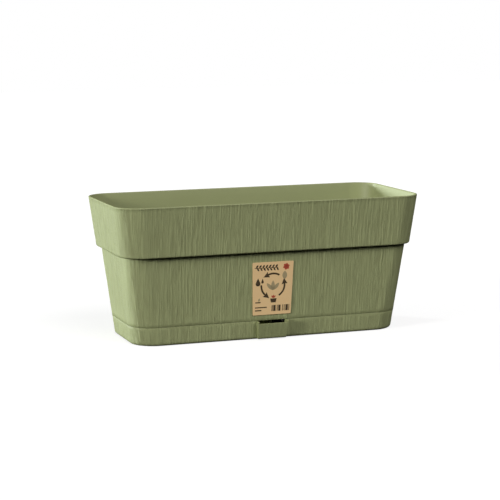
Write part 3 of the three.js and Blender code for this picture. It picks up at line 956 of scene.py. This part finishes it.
legs = turned("leg", [
    (leg_radius - leg_wall, grid_low.z), (leg_radius - leg_rounding, grid_low.z),
    (leg_radius, grid_low.z + leg_rounding), (leg_radius, grid_z + grid_thickness / 2),
    (leg_radius - leg_wall, grid_z + grid_thickness / 2)], 24)
boolean(grid, at_places(legs, leg_places, dark_plastic), "UNION")
seats = round_cutter(basket_top_radius + seat_clearance, grid_z, grid_top_z, grid_rounding, 48)
boolean(grid, at_places(seats, basket_places, dark_plastic), "DIFFERENCE")


def slot_cutter(low, high, rounding):
    """A slot with round ends that eases its edges, as a closed block."""
    layers = [(low - cut_past, rounding + cut_past), (low, rounding), (low + rounding, 0),
              (high - rounding, 0), (high, rounding), (high + cut_past, rounding + cut_past)]
    angles = np.radians(np.arange(0, 360, 30) + 15)
    points = []
    for z, out in layers:
        for a in angles:
            end = math.copysign(slot_length / 2 - slot_width / 2, math.sin(a))
            radius = slot_width / 2 + out
            points.append((radius * math.cos(a), end + radius * math.sin(a), z))
    return stacked("slot", points, len(angles))


field_length, field_width, field_corner, _ = grid_outline(grid_edge_wall + slot_width)
columns, rows = int(field_length / slot_pitch[0]), int(field_width / slot_pitch[1])


def slot_is_clear(x, y):
    """A slot keeps off the basket seats, the legs and the rounded corners."""
    ends = [(x, y + d) for d in (-slot_length / 2, 0, slot_length / 2)]
    off_seats = all(math.hypot(px - bx, py - by) > basket_top_radius + basket_flange + slot_width
                    for bx, by in basket_places for px, py in ends)
    off_legs = all(math.hypot(px - lx, py - ly) > leg_radius + slot_width
                   for lx, ly in leg_places for px, py in ends)
    corner_x = max(abs(x) - (field_length - field_corner), 0)
    corner_y = max(abs(y) + slot_length / 2 - (field_width - field_corner), 0)
    return off_seats and off_legs and math.hypot(corner_x, corner_y) < field_corner


slot_places = [(i * slot_pitch[0], j * slot_pitch[1])
               for i in range(-columns, columns + 1) for j in range(-rows, rows + 1)
               if slot_is_clear(i * slot_pitch[0], j * slot_pitch[1])]
slots = at_places(slot_cutter(grid_z, grid_top_z, slot_rounding), slot_places, dark_plastic)
boolean(grid, slots, "DIFFERENCE")
finish_mesh(grid)
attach(grid, "insert")
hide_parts("soil_grid")

# -------------------- Wick baskets
# Four slotted cups, one to each seat, that hang by their flanges on the grid and reach down into
# the water, so that the mix in them stays damp. They are moulded in the grid's dark plastic.
basket_foot_radius = 0.0135
basket_wall = 0.0016
basket_slots = 8
basket_slot_width = 0.003
basket_slot_margin = 0.0032
basket_foot_z = basket_boxes[0][0].z
basket_top_z = basket_boxes[0][1].z
flange_thickness = 0.0018
flange_z = basket_top_z - flange_thickness
basket_rounding = 0.0004
cup_foot_rounding = 0.001
cup_mouth_rounding = 0.0008
cup_hole_rounding = 0.0003

cup_profile = [
    (0, basket_foot_z), (basket_foot_radius - cup_foot_rounding, basket_foot_z),
    (basket_foot_radius, basket_foot_z + cup_foot_rounding),
    (basket_top_radius, flange_z),
    (basket_top_radius + basket_flange - basket_rounding, flange_z)]
for c, s in arc(-math.pi / 2, 3) + arc(0, 3)[1:]:
    cup_profile.append((basket_top_radius + basket_flange - basket_rounding * (1 - c),
                        (flange_z + basket_top_z) / 2
                        + math.copysign(flange_thickness / 2 - basket_rounding, s)
                        + basket_rounding * s))
cup_profile += [
    (basket_top_radius - basket_wall + cup_mouth_rounding, basket_top_z),
    (basket_top_radius - basket_wall, basket_top_z - cup_mouth_rounding),
    (basket_foot_radius - basket_wall, basket_foot_z + basket_wall + cup_foot_rounding),
    (basket_foot_radius - basket_wall - cup_foot_rounding, basket_foot_z + basket_wall),
    (0, basket_foot_z + basket_wall)]
slot_low = basket_foot_z + basket_wall + basket_slot_margin
slot_high = grid_z - basket_slot_margin
slot_half = basket_slot_width / 2
slot_outline = [(slot_half * math.cos(a), slot_low + slot_half * (1 + math.sin(a)))
                for a in np.radians(np.arange(180, 361, 30))]
slot_outline += [(slot_half * math.cos(a), slot_high - slot_half * (1 - math.sin(a)))
                 for a in np.radians(np.arange(0, 181, 30))]
slot_turns = [(i + 0.5) * 2 * math.pi / basket_slots for i in range(basket_slots // 2)]
for number, (x, y) in enumerate(basket_places, 1):
    basket = turned("basket_cup", cup_profile, 64)
    basket.data.transform(Matrix.Translation((x, y, 0)))
    basket.name = f"basket_moulding_{number}"
    basket.data.materials.append(dark_plastic)
    for slot_turn in slot_turns:
        cutter = prism_along_x("slot", slot_outline, lambda z: 1.5 * basket_top_radius)
        cutter.data.transform(Matrix.Translation((x, y, 0)) @ Matrix.Rotation(slot_turn, 4, "Z"))
        boolean(basket, cutter, "DIFFERENCE")
    hole = round_cutter(drain_radius, basket_foot_z, basket_foot_z + basket_wall,
                        cup_hole_rounding, 20)
    boolean(basket, at_places(hole, [(x, y)], dark_plastic), "DIFFERENCE")
    finish_mesh(basket)
    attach(basket, "insert")
    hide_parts(f"wick_basket_{number}")

# -------------------- Felt wicks
# A strip of needled felt in each basket: it hangs down as a U to the basket's foot, and its two
# tails lie out over the flange into the mix. The felt is soft, so its faces and edges wander.
felt_thickness = 0.0025
felt_width = 0.014
felt_leg = 0.0065
felt_bend = 0.003
felt_overhang = 0.005
felt_low = basket_foot_z + basket_wall + rest_gap + felt_thickness / 2
felt_high = basket_top_z + rest_gap + felt_thickness / 2
felt_end = basket_top_radius + basket_flange + felt_overhang
felt_shade = (0.40, 0.38, 0.33)
felt_white = (0.74, 0.72, 0.66)
felt_stain = (0.58, 0.55, 0.47)
felt_stain_share = 0.3
felt_relief = 0.0005
felt_edge_wave = 0.00022
felt_face_wave = 0.00008
felt_edge_room = 0.0003
felt_face_share = 0.96

wick_felt, tree, shader = new_material("wick_felt", Roughness=0.95, Specular_IOR_Level=0.15,
                                       Sheen_Weight=0.35, Sheen_Roughness=0.6)
place, cloud, _ = uneven_at(tree, Cloud_scale=160.0)
tangle = [node(tree, "ShaderNodeTexNoise", {
    "Vector": node(tree, "ShaderNodeMapping", {
        "Vector": place, "Rotation": turn, "Scale": (2600, 420, 2600)}).outputs[0],
    "Scale": 1.0, "Detail": 3.0, "Distortion": 1.6}).outputs[0]
    for turn in ((0.4, 0.3, 0.9), (1.2, 0.5, -0.8))]
fibre = calc(tree, "MAXIMUM", *tangle)
tone = mix_color(tree, fibre, felt_shade, felt_white)
tone = mix_color(tree, spread(tree, cloud, felt_stain_share), tone, felt_stain)
tree.links.new(tone, shader.inputs["Base Color"])
small_relief(tree, shader, spread(tree, fibre, felt_relief))

# The strip's middle line in XZ: a tail, a bend, a leg, half the U, and then the same mirrored.
half_line = [(t, felt_high) for t in np.linspace(felt_end, felt_leg + felt_bend, 9)]
half_line += [(felt_leg + felt_bend * (1 - math.sin(a)), felt_high - felt_bend * (1 - math.cos(a)))
              for a in np.linspace(0, math.pi / 2, 6)[1:]]
half_line += [(felt_leg, z) for z in np.linspace(felt_high - felt_bend, felt_low + felt_leg, 12)[1:]]
half_line += [(felt_leg * math.cos(a), felt_low + felt_leg * (1 - math.sin(a)))
              for a in np.linspace(0, math.pi / 2, 9)[1:]]
felt_line = np.array(half_line + [(-x, z) for x, z in half_line[-2::-1]])
along = np.gradient(felt_line, axis=0)
along /= np.linalg.norm(along, axis=1)[:, None]
across = np.column_stack([-along[:, 1], along[:, 0]])
# A cross-section with soft edges, as (share of half the width, share of half the thickness).
section = [(-1, -0.35), (-0.985, -0.8), (-0.93, -1)]
section += [(t, -1) for t in np.linspace(-0.7, 0.7, 7)]
section += [(0.93, -1), (0.985, -0.8), (1, -0.35)]
section += [(-u, -v) for u, v in section]
for number, (x, y) in enumerate(basket_places, 1):
    wobble = np.random.default_rng(number)
    edge_waves = wobble.normal(0, felt_edge_wave, (len(felt_line), 2))
    face_waves = wobble.normal(0, felt_face_wave, (len(felt_line), len(section)))
    points = []
    for i, (px, pz) in enumerate(felt_line):
        for j, (u, v) in enumerate(section):
            thick = v * felt_face_share * felt_thickness / 2 + face_waves[i, j]
            wide = u * (felt_width / 2 - felt_edge_room) + edge_waves[i, int(u > 0)] * abs(u)
            points.append((x + px + across[i, 0] * thick, y + wide, pz + across[i, 1] * thick))
    felt = stacked(f"felt_strip_{number}", points, len(section))
    felt.data.materials.append(wick_felt)
    finish_mesh(felt, 70)
    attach(felt, "insert")
    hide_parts(f"felt_wick_{number}")

# -------------------- Light and floor
# A white sweep of paper under a dim sky, with two lights from the left and a wide one in front.
# The paper glows a little, as a lit sweep does, and sends no light back up on to the planter.
floor_half = 6
floor_mesh = bpy.data.meshes.new("floor")
floor_mesh.from_pydata([(-floor_half, -floor_half, 0), (floor_half, -floor_half, 0),
                        (floor_half, floor_half, 0), (-floor_half, floor_half, 0)], [], [(0, 1, 2, 3)])
floor = add_object("floor", floor_mesh)
paper, tree, shader = new_material("floor_paper", Roughness=0.9, Specular_IOR_Level=0.0,
                                   Base_Color=(0.36, 0.36, 0.36, 1), Emission_Color=(1, 1, 1, 1),
                                   Emission_Strength=0.74)
floor_mesh.materials.append(paper)
floor.visible_diffuse = False
floor.visible_glossy = False


def sun(name, azimuth, elevation, width, power, color):
    """A broad light far off, seen from the planter at that azimuth and elevation in degrees,
    where azimuth 0 is straight in front and -90 is on the left."""
    data = bpy.data.lights.new(name, "SUN")
    data.angle = math.radians(width)
    data.energy = power
    data.color = color
    light = bpy.data.objects.new(name, data)
    a, e = math.radians(azimuth), math.radians(elevation)
    back = Vector((math.sin(a) * math.cos(e), -math.cos(a) * math.cos(e), math.sin(e)))
    light.matrix_world = back.to_track_quat("Z", "Y").to_matrix().to_4x4()
    bpy.context.scene.collection.objects.link(light)


sun("back left", -132, 6, 10, 3.7, (0.97, 1.04, 1.02))
sun("side left", -72, 14, 12, 2.05, (1.0, 0.99, 0.97))
sun("front", 20, 42, 46, 1.74, (1.0, 0.97, 0.98))

# The sky is dark at the horizon and bright overhead; the camera sees it plain white.
sky_strength = 0.38
world = bpy.data.worlds.new("studio")
world.use_nodes = True
tree = world.node_tree
sky_up = node(tree, "ShaderNodeSeparateXYZ", {
    0: node(tree, "ShaderNodeTexCoord").outputs["Generated"]}).outputs[2]
camera_ray = node(tree, "ShaderNodeLightPath").outputs["Is Camera Ray"]
sky = calc(tree, "MULTIPLY", calc(tree, "MAXIMUM", sky_up, 0.0), sky_strength)
plain = calc(tree, "SUBTRACT", 1.0, camera_ray)
tree.links.new(calc(tree, "ADD", calc(tree, "MULTIPLY", sky, plain), camera_ray),
               tree.nodes["Background"].inputs["Strength"])
tree.nodes["Background"].inputs["Color"].default_value = (1, 1, 1, 1)
bpy.context.scene.world = world
bpy.context.scene.view_settings.view_transform = "Standard"
